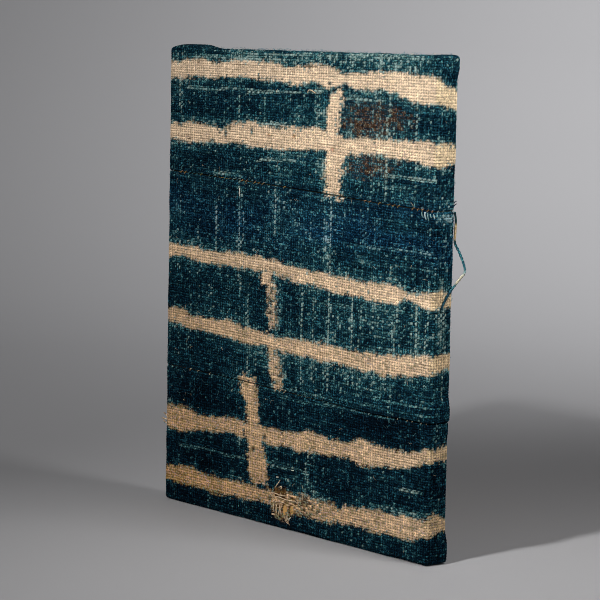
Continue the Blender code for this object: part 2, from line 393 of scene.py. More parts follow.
def weave_height(column, row):
    """Height of the cloth over its deepest gaps: warp and weft pass over and under each other."""
    i, j = thread_number(column), thread_number(row)
    warp_round = np.sqrt(np.maximum(0.0, 1 - (2 * (column - i) - 1) ** 2))
    weft_round = np.sqrt(np.maximum(0.0, 1 - (2 * (row - j) - 1) ** 2))
    warp_size = 0.70 + 0.30 * scatter(i, 3) + 0.45 * drift(row / 5, i, 4)
    weft_size = 0.85 + 0.18 * scatter(j, 5) + 0.30 * drift(column / 5, j, 6)
    sign = 1 - 2 * ((i + j) % 2)
    warp = CRIMP * sign * np.abs(np.sin(math.pi * row)) + THREAD_RADIUS * warp_size * warp_round
    weft = -CRIMP * sign * np.abs(np.sin(math.pi * column)) + THREAD_RADIUS * weft_size * weft_round
    return np.maximum(np.maximum(warp, weft), 0.0)


def sag(x, z):
    """How far the seams' sag carries a point up or down."""
    anchors = (SEAM_FREE, LOWER_SEAM, UPPER_SEAM, HEIGHT - SEAM_FREE)
    lower = np.interp(x, SEAM_COURSE["along"], SEAM_COURSE["lower"]) - LOWER_SEAM
    upper = np.interp(x, SEAM_COURSE["along"], SEAM_COURSE["upper"]) - UPPER_SEAM
    return lower * np.interp(z, anchors, (0, 1, 0, 0)) + upper * np.interp(z, anchors, (0, 0, 1, 0))


def shape_strip(mesh, strip):
    """Fold the sheet softly round the board, raise its threads and let its seams sag."""
    column, row = read_layer(mesh, "column"), read_layer(mesh, "row")
    along, level = read_layer(mesh, "along"), read_layer(mesh, "level")
    points = fold_round(along, level)
    nearest, out = outward(points)
    height = weave_height(column, row)
    move = out * (height - CRIMP - THREAD_RADIUS)[:, None] + fold_rise(points, out, strip["node"])
    slack = SLACK * (drift(along * 90, level * 90, 7) - 0.5)
    edge = np.full(len(points), 1.0)
    if strip["low"] > 0:
        edge = np.minimum(edge, (level - strip["low"]) / ROLL_WIDTH)
    if strip["high"] < HEIGHT:
        edge = np.minimum(edge, (strip["high"] - level) / ROLL_WIDTH)
    roll = -ROLL_DEPTH * (1 - ease(edge))
    behind = (points[:, 1] > HALF_DEPTH - 1e-6) & (np.abs(points[:, 0]) < HALF_WIDTH - 1e-6)
    side_margin = behind & (level >= 0) & (level <= HEIGHT)
    lapped = TURNED_ROWS * (strip["high"] - strip["low"]) / strip["rows"]
    into = np.zeros(len(points))
    if strip["high"] >= HEIGHT:
        into = ease((points[:, 2] - (HEIGHT - lapped) + TUCK_WIDTH) / TUCK_WIDTH)
    if strip["low"] <= 0:
        into = ease((lapped - points[:, 2] + TUCK_WIDTH) / TUCK_WIDTH)
    tuck = -TUCK_DEPTH * into * side_margin
    move += out * (slack + roll + tuck)[:, None]
    across = np.stack((-out[:, 1], out[:, 0], np.zeros(len(out))), axis=1)
    thread = np.rint(column * 2)
    sway = SWAY_SLOW * (drift(level * 150, thread, 8) - 0.5)
    sway += SWAY_EACH * (scatter(np.rint(column), 9) - 0.5)
    line = np.rint(row * 3)
    dip = DIP_SLOW * (drift(along * 130, line, 10) - 0.5)
    dip += DIP_EACH * (scatter(np.rint(row), 11) - 0.5)
    upright = 1 - np.abs(out[:, 2])
    still = np.clip(edge, 0.0, 1.0)
    move += across * (sway * upright)[:, None]
    move[:, 2] += dip * upright * still
    points = nearest + FOLD_RADIUS * out + move
    points[:, 2] += sag(points[:, 0], fold_round(along, level)[:, 2])
    points[:, 2] = np.maximum(points[:, 2], 0.0)
    write_points(mesh, points)
    return height, points


# The pattern, as the resist left it: bands of undyed cotton that run round the panel. Each edge is
# charted in millimetres, upper edge first, as pairs of distance from the front's left and height.
BANDS = [
    (((0, 248.6), (28, 251), (33, 248.7), (66, 251.3), (90, 249.6), (94, 248), (115, 250),
      (128, 248.3), (138, 245.8), (175, 248), (190, 246.8), (203, 246), (220, 238)),
     ((0, 239.8), (25, 241.3), (65, 241.6), (92, 241), (98, 238.6), (115, 241.3), (127, 237.8),
      (140, 241.4), (147, 238.4), (170, 238.3), (188, 233.4), (203, 232.7), (220, 229.6))),
    (((0, 214), (27, 215.6), (45, 213.4), (52, 216.3), (68, 218.2), (85, 215.4), (118, 217),
      (140, 213), (172, 213.6), (193, 213.8), (220, 211.7)),
     ((0, 205.4), (22, 204.4), (55, 206.3), (90, 204.3), (118, 205.7), (140, 204.4), (165, 205.7),
      (192, 203.6), (203, 201), (220, 203.6))),
    (((0, 147), (25, 146), (30, 144.4), (60, 146), (88, 144.7), (103, 142.3), (135, 141),
      (155, 139.8), (182, 140), (188, 136.4), (194, 137.2), (210, 139.4), (220, 136.6)),
     ((0, 138.8), (12, 141), (22, 138.8), (55, 138.6), (90, 137.6), (110, 135), (130, 133),
      (165, 131.2), (180, 131), (187, 134.2), (193, 133), (202, 130.7), (220, 131.7))),
    (((0, 110.2), (15, 109.7), (20, 107), (50, 108), (68, 105.7), (90, 103.7), (130, 104.6),
      (150, 102.7), (180, 104.7), (206, 107), (220, 107.7)),
     ((0, 103.4), (12, 101.6), (35, 100.2), (60, 98.4), (90, 97), (120, 95.7), (160, 94.6),
      (175, 93.8), (200, 97), (220, 100.4))),
    (((0, 53.8), (12, 55.4), (32, 52.4), (60, 54.2), (85, 53.2), (110, 53.7), (115, 56),
      (145, 53.8), (158, 58.2), (172, 55.7), (192, 56), (203, 59.6), (220, 60.3)),
     ((0, 42.4), (15, 41.8), (30, 43.6), (57, 46.4), (85, 45), (115, 45.2), (147, 47), (159, 43.8),
      (172, 46.6), (195, 49), (206, 53), (220, 53.3))),
    (((0, 19.2), (22, 22), (36, 18.8), (70, 20), (85, 18.6), (110, 21), (138, 20.4), (141, 18.4),
      (147, 21.3), (180, 22.3), (205, 23.8), (209, 27), (220, 23)),
     ((0, 11.6), (22, 10.5), (28, 12.2), (38, 10.4), (85, 12.2), (125, 9.8), (150, 11.7),
      (195, 11.4), (208, 15.6), (220, 17))),
]

# Upright bars of undyed cotton: points of a height, the bar's middle there and its width, and then
# how much of the bar stayed undyed
BARS = [
    (((182, 133, 12), (190, 132.7, 11.5), (198, 132.5, 13.5), (206, 133, 13), (215, 130.5, 8),
      (224, 131.5, 8.5), (232, 133, 11), (236.5, 133.5, 7)), 1.0),
    (((131.5, 82.5, 7), (135, 82, 9), (139, 82, 9)), 0.95),
    (((107, 88, 6.5), (112, 87.8, 6.8), (121, 87, 8), (130, 85.5, 7), (133, 84.5, 5)), 0.70),
    (((76, 93.5, 7), (82, 92, 9.5), (90, 88.8, 8.5), (98, 88, 8)), 0.76),
    (((21.5, 79, 11), (25, 79, 15), (35, 77, 14), (44, 75.5, 11), (57, 72.5, 8), (66, 72, 10),
      (70, 69.5, 12.5), (79, 68.5, 13)), 1.0),
]

# Single threads that took less dye: place of the thread, from, to, and how pale it is
PALE_WARPS = [
    (8.5, 224, 241, 0.9), (5, 187, 200, 0.3), (31, 222, 240, 0.35), (57, 205, 242, 0.4),
    (40.5, 143, 172, 0.75), (25, 150, 160, 0.5), (59.5, 126, 187, 0.7), (62, 150, 183, 0.6),
    (68, 78, 126, 0.75), (88, 158, 187, 0.7), (91.5, 158, 187, 0.5), (110, 78, 135, 0.55),
    (119, 84, 125, 0.4), (131, 80, 182, 0.65), (137, 100, 150, 0.5), (148.5, 98, 135, 0.8),
    (154, 78, 130, 0.5), (171, 182, 240, 0.8), (166, 182, 240, 0.45), (161, 182, 240, 0.4),
    (192, 180, 236, 0.6), (176, 135, 150, 0.7), (180, 98, 135, 0.75), (195, 98, 140, 0.8),
    (202, 98, 150, 0.65), (211, 100, 145, 0.5), (214, 84, 130, 0.6), (117, 20, 46, 0.6),
    (123, 18, 46, 0.4), (97, 58, 70, 0.4), (62, 36, 46, 0.5), (22, 62, 70, 0.3),
    (177, 70, 98, 0.4),
]
PALE_WEFTS = [
    (235, 14, 112, 0.75), (236.3, 112, 124, 0.9), (234, 64, 80, 0.8), (217.5, 76, 100, 0.9),
    (33.5, 10, 68, 0.65), (33.3, 88, 118, 0.75), (36.2, 186, 203, 0.9), (34.5, 84, 100, 0.4),
    (198.5, 74, 104, 0.75), (188.6, 36, 60, 0.7), (194.6, 168, 206, 0.8), (190, 168, 190, 0.4),
    (233.3, 138, 166, 0.6), (252, 20, 112, 0.35), (254.5, 60, 205, 0.4), (158, 160, 206, 0.45),
    (150, 150, 206, 0.35), (126.5, 130, 206, 0.35), (25, 165, 206, 0.5), (23.8, 180, 214, 0.6),
    (26.6, 176, 206, 0.4), (80.6, 150, 206, 0.45), (71.8, 92, 180, 0.5), (76.5, 84, 206, 0.4),
]

# Places where the dye is thicker or thinner, and painted shade under the lower seam's ridge at the right:
# along, level, reach each way, and the change
DYE_AND_SHADE_WASHES = [
    (30, 226, 48, 13, -0.06), (96, 228, 34, 12, 0.07), (122, 222, 8, 18, 0.30),
    (122, 196, 9, 10, 0.22), (146, 226, 9, 14, 0.12), (168, 212, 42, 34, 0.05),
    (60, 197, 60, 9, -0.05), (84, 198, 40, 9, 0.10), (70, 254, 75, 8, 0.20),
    (212, 246, 12, 10, -0.10), (110, 240, 16, 4, 0.10), (30, 167, 40, 18, -0.04),
    (85, 158, 45, 14, 0.04), (170, 160, 50, 22, 0.05), (10, 118, 26, 22, -0.10),
    (45, 122, 30, 14, -0.02), (168, 118, 52, 16, 0.14), (110, 122, 20, 14, 0.05),
    (160, 87, 52, 12, 0.15), (120, 88, 14, 12, 0.08), (40, 88, 50, 13, -0.03),
    (150, 66, 62, 8, -0.07), (30, 64, 40, 12, -0.06), (40, 32, 60, 12, -0.04),
    (108, 26, 26, 8, 0.12), (122, 21, 10, 7, 0.15), (150, 34, 60, 12, -0.02),
    (60, 5, 90, 6, -0.05), (185, 25, 26, 4, 0.14), (98, 63, 10, 5, 0.12), (124, 40, 10, 10, 0.08),
    (180, 180, 30, 5, -0.08), (212, 176, 10, 5, 0.50), (175, 181, 40, 3, 0.12),
    # The first here, at 170 along and 72 up, is painted shade along the lower seam's ridge
    (170, 72, 60, 3, -0.08), (85, 45, 12, 6, 0.15), (64, 44, 9, 6, 0.16), (20, 148, 14, 5, 0.12),
    (200, 137, 10, 5, 0.10), (212, 128, 8, 14, 0.12), (128, 162, 5, 26, 0.20),
    (40, 166, 3, 22, 0.14), (59, 160, 3, 26, 0.14), (88, 172, 5, 18, 0.14),
    (104, 170, 4, 16, 0.08), (131, 116, 3, 18, 0.22), (147, 116, 3, 16, 0.20),
    (156, 118, 3, 14, 0.12), (178, 118, 3, 16, 0.16), (196, 116, 3, 16, 0.18),
    (211, 118, 3, 14, 0.20), (66, 112, 3, 16, 0.14), (30, 225, 3, 14, 0.10),
    (10, 226, 3, 14, 0.16), (56, 225, 4, 14, 0.10), (171, 224, 3, 16, 0.18),
    (117, 34, 3, 16, 0.20), (124, 33, 3, 12, 0.12), (140, 60, 60, 4, -0.05),
    (213, 160, 8, 40, 0.08), (160, 254, 62, 9, 0.42), (148, 235, 10, 9, 0.16),
    (180, 237, 16, 8, 0.16), (111, 208, 10, 8, 0.14), (165, 165, 48, 12, -0.08),
    (185, 193, 34, 8, -0.08), (111, 121, 14, 10, -0.10), (20, 78, 44, 12, -0.09),
    (180, 79, 44, 9, -0.08), (129, 150, 7, 14, 0.20), (131, 100, 9, 18, 0.26),
    (80, 92, 20, 12, 0.14), (78, 35, 22, 8, 0.08), (60, 22, 8, 5, 0.14), (129, 22, 10, 5, 0.18),
    # The last here, at 175 along and 69 up, is painted shade under the lower seam's ridge
    (163, 22, 10, 5, 0.12), (190, 6, 26, 7, 0.10), (175, 69, 50, 5, -0.10),
    (110, 71, 40, 4, -0.06), (18, 121, 12, 8, 0.06), (172, 66, 40, 8, -0.03),
    (25, 150, 30, 6, 0.06),
]

# Small spots in the bands where the dye or something brown has got in: place, reach and kind
SPOTS = [
    (47, 211, 1.6, 3.2, "dye"), (50, 214.5, 1.2, 2.2, "dye"), (36, 206.5, 2.6, 1.2, "dye"),
    (68, 213, 1.4, 2.4, "dye"), (42, 211, 1.2, 0.9, "dye"), (82, 211.5, 1.4, 1.0, "brown"),
    (102, 212, 1.6, 1.1, "brown"), (131, 206.5, 1.4, 1.4, "brown"), (128, 240.5, 2.0, 1.2, "dye"),
    (98, 240, 1.6, 1.6, "dye"), (188, 247, 3.0, 1.2, "dye"), (160, 135, 1.2, 1.6, "dye"),
    (88, 15, 1.2, 2.0, "dye"), (74, 40, 1.4, 2.0, "dye"), (83, 48, 1.8, 1.6, "dye"),
    (66, 49, 1.4, 1.6, "dye"),
]
# Rust-brown spotting right of the upper bar, then the worn patch round the hole and a thin one beside
STAINS = [(161, 222, 31, 14, 0.75), (159, 200, 27, 9, 0.60), (131, 207, 10, 22, 0.12)]
WORN_PATCH = (98, 13.5, 11, 10)
THIN_PATCH = (117, 16, 19, 11)
# Where the right side face starts along the cloth, in millimetres: beyond it the undyed thread has painted
# side shade
SIDE_FROM = 204

# Colours of the dyed thread from its deepest to its palest and of the other threads, then a painted side
# shade and the brown painted shade at the bottom of the gaps between undyed threads
INDIGO_STEPS = (0.0, 0.22, 0.45, 0.70, 1.0)
INDIGO = (
    (0.0006, 0.0018, 0.0080, 0.055, 0.330),
    (0.0035, 0.0120, 0.0420, 0.150, 0.470),
    (0.0084, 0.0245, 0.0640, 0.175, 0.450),
)
INDIGO_BLUE = (0.70, 0.86, 1.22)
CREAM = (0.90, 0.700, 0.500)
TAN = (0.53, 0.275, 0.080)
# Painted side shade: the undyed thread darker and yellower on the right side face, as the light falls there
SIDE_SHADE_TINT = (0.92, 0.93, 0.84)
# Painted shade at the bottom of the gaps between undyed threads, brown
CREAM_GAP_SHADE = (0.10, 0.046, 0.016)
RUST = (0.085, 0.044, 0.021)


def band_distance(along, level, jag):
    """Distance in millimetres outside the nearest band or bar, negative inside, and its strength."""
    nearest = np.full(len(along), 99.0)
    strength = np.ones(len(along))
    for edges in BANDS:
        upper, lower = (np.interp(along, *zip(*edge)) for edge in edges)
        away = np.abs(level - (upper + lower) / 2) - (upper - lower) / 2 + jag
        nearest = np.minimum(nearest, away)
    for course, bar_strength in BARS:
        heights, middles, widths = zip(*course)
        centre = np.interp(level, heights, middles)
        width = np.interp(level, heights, widths)
        beyond = np.maximum(heights[0] - level, level - heights[-1])
        away = np.maximum(np.abs(along - centre) - width / 2, beyond) + 1.7 * jag
        strength = np.where((away < nearest) & (nearest > 0), bar_strength, strength)
        nearest = np.minimum(nearest, away)
    return nearest, strength


def pale_share(rows, place, run, on_top):
    """How pale threads are that took less dye, in dashes where they lie on top."""
    pale = np.zeros(len(place))
    for line, start, end, strength in rows:
        wave = 1.4 * (drift(run / 18, run * 0, line) - 0.5)
        on_thread = (np.abs(place - line - wave) < 0.85) & on_top
        inside = (run > start) & (run < end)
        patchy = 0.50 + 0.75 * scatter(np.floor(run / 2.9), line, 21)
        pale = np.maximum(pale, on_thread * inside * strength * np.minimum(patchy, 1.0))
    return pale


def cloth_colours(column, row, along, level, height):
    """The colour of the thread that lies on top at each point, from its place in millimetres, with painted
    highlights on the thread crests and painted shade in the gaps, under the lower seam and on the right
    side face.
    """
    i, j = thread_number(column), thread_number(row)
    between_warps = np.abs(column - i) < 0.01
    between_wefts = np.abs(row - j) < 0.01
    warp_on_top = ~between_warps & (between_wefts | ((i + j) % 2 == 0))
    thread = np.where(warp_on_top, i, j + 0.37)
    crossing = scatter(i, j, 12)
    length = np.where(warp_on_top, level, along)

    # How much of each thread stayed undyed, with edges that run out thread by thread
    bleed = scatter(thread, np.floor(length / 6), 13)
    jag = 1.5 * (bleed - 0.5) + 1.4 * (crossing - 0.5) + 1.5 * (drift(along / 4, level / 4, 14) - 0.5)
    jag += warp_on_top * 2.6 * np.maximum(scatter(i, np.floor(level / 9), 15) - 0.80, 0) / 0.20
    away, strength = band_distance(along, level, jag)
    undyed = 1 - ease(away / 1.6 + 0.45)
    mottled = (scatter(i, j, 31) < strength) * (0.45 + 0.50 * scatter(thread, i + j, 32)) + 0.08
    undyed *= np.where(strength < 0.9, mottled, 1.0)
    foot = 1 - ease((level - 58) / 22)
    halo = 1 - ease(away / (6.5 - 2.0 * foot))

    # The indigo: how pale each thread is, with random paler crossings and a painted highlight on the thread
    # crests, then its colour
    warp_streak = ease((drift(level / 24, i, 16) + 0.35 * scatter(i, 17) - 0.52) / 0.45)
    weft_streak = ease((drift(along / 30, j, 18) + 0.30 * scatter(j, 19) - 0.55) / 0.45)
    depth = np.clip(height / (CRIMP + THREAD_RADIUS), 0, 1)
    # Painted highlight on the thread crests: paler crossings and the halo round the bands are lightest on
    # the tops of the threads
    crest = ease((depth - 0.45) / 0.5)
    fleck_and_highlight = crossing ** 2.5 * crest
    shade = 0.125 + 0.10 * crossing + 0.28 * fleck_and_highlight
    shade += np.where(warp_on_top, 0.05 + (0.08 + 0.26 * fleck_and_highlight) * warp_streak, 0.14 * weft_streak)
    shade += 0.15 * (drift(along / 13, level / 13, 20) - 0.5)
    shade += 0.04 * (drift(along / 4, level / 4, 21) - 0.5)
    shade += (0.62 - 0.26 * foot) * halo * scatter(i, j, 22) ** 2 * (0.4 + 0.6 * crest)
    for *spot, change in DYE_AND_SHADE_WASHES:
        share = 1 - ease(reach_out(along, level, spot))
        shade += change * share * (0.5 + 1.4 * fleck_and_highlight + 0.4 * crossing)
    shade -= 0.10 * foot + 0.03 * (1 - np.clip(along / 120, 0, 1))
    pale = np.maximum(pale_share(PALE_WARPS, along, level, warp_on_top),
                      pale_share(PALE_WEFTS, level, along, ~warp_on_top))
    shade += 0.84 * pale
    shade = np.clip(shade, 0.0, 1.0)
    indigo = np.stack([np.interp(shade, INDIGO_STEPS, channel) for channel in INDIGO], axis=1)
    bluer = (1 - ease(np.abs(level - 167) / 24)) * 1.1 * drift(along / 30, level / 9, 25)
    indigo *= 1 + np.clip(bluer, 0, 1)[:, None] * (np.array(INDIGO_BLUE) - 1)
    rusty = np.zeros(len(along))
    ragged = 0.5 * (drift(along / 5, level / 5, 26) - 0.5)
    for *spot, most in STAINS:
        rusty = np.maximum(rusty, most * (1 - ease(reach_out(along, level, spot) + ragged)))
    spotted = 0.62 * (scatter(i, j, 27) < rusty * 0.70)[:, None]
    indigo = indigo * (1 - spotted) + np.array(RUST) * (0.3 + 1.1 * crossing)[:, None] * spotted

    # The undyed thread: browner towards the lower left, worn and spotted in places, with painted shade on
    # the right side face
    share = np.clip(along / 206, 0, 1)
    low = np.clip(1 - level / 257, 0, 1) ** 1.3
    aged = (0.07 * (1 - share) + low * (0.92 - 0.48 * share))[:, None]
    cream = np.array(CREAM) * (1 - aged) + np.array(TAN) * aged
    tone = 0.85 + 0.22 * scatter(thread, 23) + 0.20 * (drift(along / 8, level / 8, 24) - 0.5)
    tone += (0.36 + 0.55 * low) * (crossing - 0.5)
    cream = cream * tone[:, None]
    # Painted side shade: the undyed thread darker and yellower on the right side face, where the light
    # falls differently
    cream = np.where((along > SIDE_FROM)[:, None], cream * SIDE_SHADE_TINT, cream)
    worn = 1 - ease((reach_out(along, level, WORN_PATCH) - 0.55) / 0.5)
    worn *= scatter(i, j, 28) < 0.78
    undyed = np.maximum(undyed, worn * (0.45 + 0.55 * scatter(thread, 29)))
    cream = cream * (1 - 0.35 * worn * scatter(i, j, 30))[:, None]
    thin = 1 - ease((reach_out(along, level, THIN_PATCH) - 0.4) / 0.6)
    undyed = undyed * (1 - 0.80 * thin * (scatter(i, j, 45) < 0.30))
    cream = cream * (1 + 0.8 * thin * (scatter(i, j, 46) - 0.55))[:, None]
    for *spot, kind in SPOTS:
        share_here = 1 - ease(reach_out(along, level, spot) - 0.3)
        if kind == "dye":
            undyed = undyed * (1 - 0.9 * share_here)
        else:
            cream = cream * (1 - share_here[:, None] * (0.45, 0.62, 0.75))

    # Both together, with painted shade towards the gaps between the threads: brownish under undyed and
    # rust-spotted thread, near black under indigo
    colour = indigo * (1 - undyed[:, None]) + cream * undyed[:, None]
    shadow = ease(depth / (0.83 + 0.24 * low + 0.10 * (1 - share))) ** (1.9 - 0.9 * undyed)
    brown = np.clip(undyed + 0.7 * rusty, 0, 1)[:, None]
    gap_shade = np.array(CREAM_GAP_SHADE) * brown + indigo * 0.06 * (1 - brown)
    return colour * shadow[:, None] + gap_shade * (1 - shadow)[:, None]


def paint(mesh, name, colours):
    """Keep one colour for each point."""
    layer = mesh.attributes.new(name, "FLOAT_COLOR", "POINT")
    whole = np.concatenate((colours, np.ones((len(colours), 1))), axis=1)
    layer.data.foreach_set("color", whole.astype(np.float32).ravel())


def sink_rims(mesh):
    """Give every cut edge of the sheet a visible thickness towards the board."""
    sheet = bmesh.new()
    sheet.from_mesh(mesh)
    unrolled = sheet.loops.layers.uv["OFBake"]
    rim = [edge for edge in sheet.edges if edge.is_boundary]
    made = bmesh.ops.extrude_edge_only(sheet, edges=rim)["geom"]
    fresh = {part for part in made if isinstance(part, bmesh.types.BMVert)}
    points = np.array([vertex.co for vertex in fresh])
    out = outward(points)[1]
    for vertex, direction in zip(fresh, out):
        vertex.co -= Vector(direction) * RIM_DEPTH
    for face in (part for part in made if isinstance(part, bmesh.types.BMFace)):
        for loop in face.loops:
            root = loop.vert
            if root in fresh:
                others = [edge.other_vert(root) for edge in root.link_edges]
                root = next(other for other in others if other not in fresh)
            known = [other for other in root.link_loops if other.face not in made]
            if known:
                loop[unrolled].uv = known[0][unrolled].uv
    sheet.to_mesh(mesh)
    sheet.free()


def fit_unrolled(mesh):
    """Fit the unrolled layout into one square."""
    layer = mesh.uv_layers["OFBake"]
    flat = np.zeros(len(mesh.loops) * 2, np.float32)
    layer.data.foreach_get("uv", flat)
    flat = flat.reshape(-1, 2)
    low, high = flat.min(axis=0), flat.max(axis=0)
    flat = 0.01 + 0.98 * (flat - low) / (high - low)
    layer.data.foreach_set("uv", flat.astype(np.float32).ravel())


# Flecks where a dyed thread's paler heart shows, and how pale they can get
FLECK_TINT = (1.18, 1.08, 0.90)
FLECK_LIMIT = (0.19, 0.26, 0.25)


def map_range(tree, value, low, high, least, most):
    """Carry a value from one range into another."""
    sockets = {"Value": value, "From Min": low, "From Max": high, "To Min": least, "To Max": most}
    return add_node(tree, "MapRange", sockets)["Result"]


def fibre_group():
    """Fine handspun fibre: it breaks up a thread's colour, flecks it and raises its surface."""
    group = bpy.data.node_groups.new("handspun_fibre", "ShaderNodeTree")
    for name, way, kind in (
            ("Place", "INPUT", "Vector"), ("Colour", "INPUT", "Color"), ("Scale", "INPUT", "Float"),
            ("Colour", "OUTPUT", "Color"), ("Roughness", "OUTPUT", "Float"),
            ("Height", "OUTPUT", "Float")):
        group.interface.new_socket(name=name, in_out=way, socket_type="NodeSocket" + kind)
    start = group.nodes.new("NodeGroupInput").outputs
    end = group.nodes.new("NodeGroupOutput").inputs

    def combine(operation, sockets):
        return add_node(group, "VectorMath", sockets, operation=operation)["Vector"]

    sockets = {"Vector": start["Place"], "Scale": start["Scale"], "Detail": 4.0, "Roughness": 0.65}
    fibre = add_node(group, "TexNoise", sockets)["Fac"]
    coarser = add_node(group, "Math", {0: start["Scale"], 1: 0.34}, operation="MULTIPLY")["Value"]
    sockets = {"Vector": start["Place"], "Scale": coarser, "Detail": 2.0}
    slub = add_node(group, "TexNoise", sockets)["Fac"]
    fine = map_range(group, fibre, 0.3, 0.7, 0.72, 1.25)
    coarse = map_range(group, slub, 0.36, 0.64, 0.66, 1.24)
    both = add_node(group, "Math", {0: fine, 1: coarse}, operation="MULTIPLY")["Value"]
    tint = combine("SCALE", {0: start["Colour"], "Scale": both})
    lit = combine("SCALE", {0: start["Colour"], "Scale": map_range(group, slub, 0.53, 0.66, 0.8, 5.6)})
    capped = combine("MINIMUM", {0: combine("MULTIPLY", {0: lit, 1: FLECK_TINT}), 1: FLECK_LIMIT})
    group.links.new(combine("MAXIMUM", {0: tint, 1: capped}), end["Colour"])
    group.links.new(map_range(group, fibre, 0.0, 1.0, 0.98, 0.80), end["Roughness"])
    group.links.new(fibre, end["Height"])
    return group


HANDSPUN = fibre_group()


def lay_fibre(tree, surface, place, colour, scale, strength, depth):
    """Break up a material's colour with handspun fibre and raise it a little."""
    sockets = {"Place": place, "Colour": colour, "Scale": scale}
    fibre = add_node(tree, "Group", sockets, node_tree=HANDSPUN)
    tree.links.new(fibre["Colour"], surface.inputs["Base Color"])
    tree.links.new(fibre["Roughness"], surface.inputs["Roughness"])
    raise_surface(tree, surface, fibre["Height"], strength, depth)


def cotton_material():
    """Matt cotton whose colour is kept point by point, broken up by its fibres."""
    made, tree, surface, place = node_material("dyed_cotton", 0.9)
    surface.inputs["Specular IOR Level"].default_value = 0.02
    dyed = add_node(tree, "Attribute", {}, attribute_name="cloth_colour")["Color"]
    lay_fibre(tree, surface, place, dyed, 3800.0, 0.6, 0.00012)
    return made


CLOTH = cotton_material()


def smooth_faces(mesh):
    """Shade a mesh smoothly."""
    mesh.polygons.foreach_set("use_smooth", [True] * len(mesh.polygons))


def place_piece(name, mesh, material):
    """Put a finished mesh on the panel's one body."""
    mesh.materials.append(material)
    piece = bpy.data.objects.new(name, mesh)
    bpy.context.scene.collection.objects.link(piece)
    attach(piece, "root")
    return piece


for strip_row in STRIPS:
    strip = dict(zip(STRIP_COLUMNS, strip_row))
    strip_mesh = joined_strip(strip)
    strip_height, strip_points = shape_strip(strip_mesh, strip)
    unrolled_level = read_layer(strip_mesh, "level")
    upright = (unrolled_level > 0) & (unrolled_level < HEIGHT)
    seen_level = np.where(upright, strip_points[:, 2], unrolled_level)
    strip_colours = cloth_colours(
        read_layer(strip_mesh, "column"), read_layer(strip_mesh, "row"),
        read_layer(strip_mesh, "along") * 1000, seen_level * 1000, strip_height)
    paint(strip_mesh, "cloth_colour", strip_colours)
    sink_rims(strip_mesh)
    fit_unrolled(strip_mesh)
    smooth_faces(strip_mesh)
    strip_piece = place_piece(strip["sheet"], strip_mesh, CLOTH)
    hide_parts(strip["node"])

# The sewing and the wear: whip stitches of handspun thread that hold the strips edge to edge, broken
# threads round the worn hole, fringe at the cut edges behind, and fibres that stand off the cloth.
STRAND_SIDES = 4
TINTS = {
    "cream": (0.66, 0.50, 0.33), "white": (0.80, 0.76, 0.66), "brown": (0.17, 0.075, 0.028),
    "orange": (0.46, 0.235, 0.085), "pale": (0.36, 0.46, 0.46), "sea": (0.13, 0.25, 0.26),
    "teal": (0.035, 0.130, 0.165), "dark": (0.004, 0.013, 0.024),
}

# Stitches along each seam: from, to, and the thread's colour there, in millimetres along the cloth
STITCH_PITCH = 3.4
UPPER_STITCHES = [
    (-44, 4, "teal"), (4, 16, "orange"), (16, 24, "teal"), (24, 34, "brown"), (34, 40, "teal"),
    (40, 47, "white"), (47, 60, "teal"), (60, 80, "orange"), (80, 89, "dark"), (89, 97, "orange"),
    (97, 119, "dark"), (119, 149, "teal"), (149, 206, "orange"), (206, 250, "pale"),
]
LOWER_STITCHES = [
    (-44, 20, "dark"), (20, 38, "cream"), (38, 84, "teal"), (84, 101, "cream"), (101, 107, "dark"),
    (107, 136, "teal"), (136, 152, "dark"), (152, 166, "pale"), (166, 175, "dark"),
    (175, 207, "cream"), (207, 250, "teal"),
]

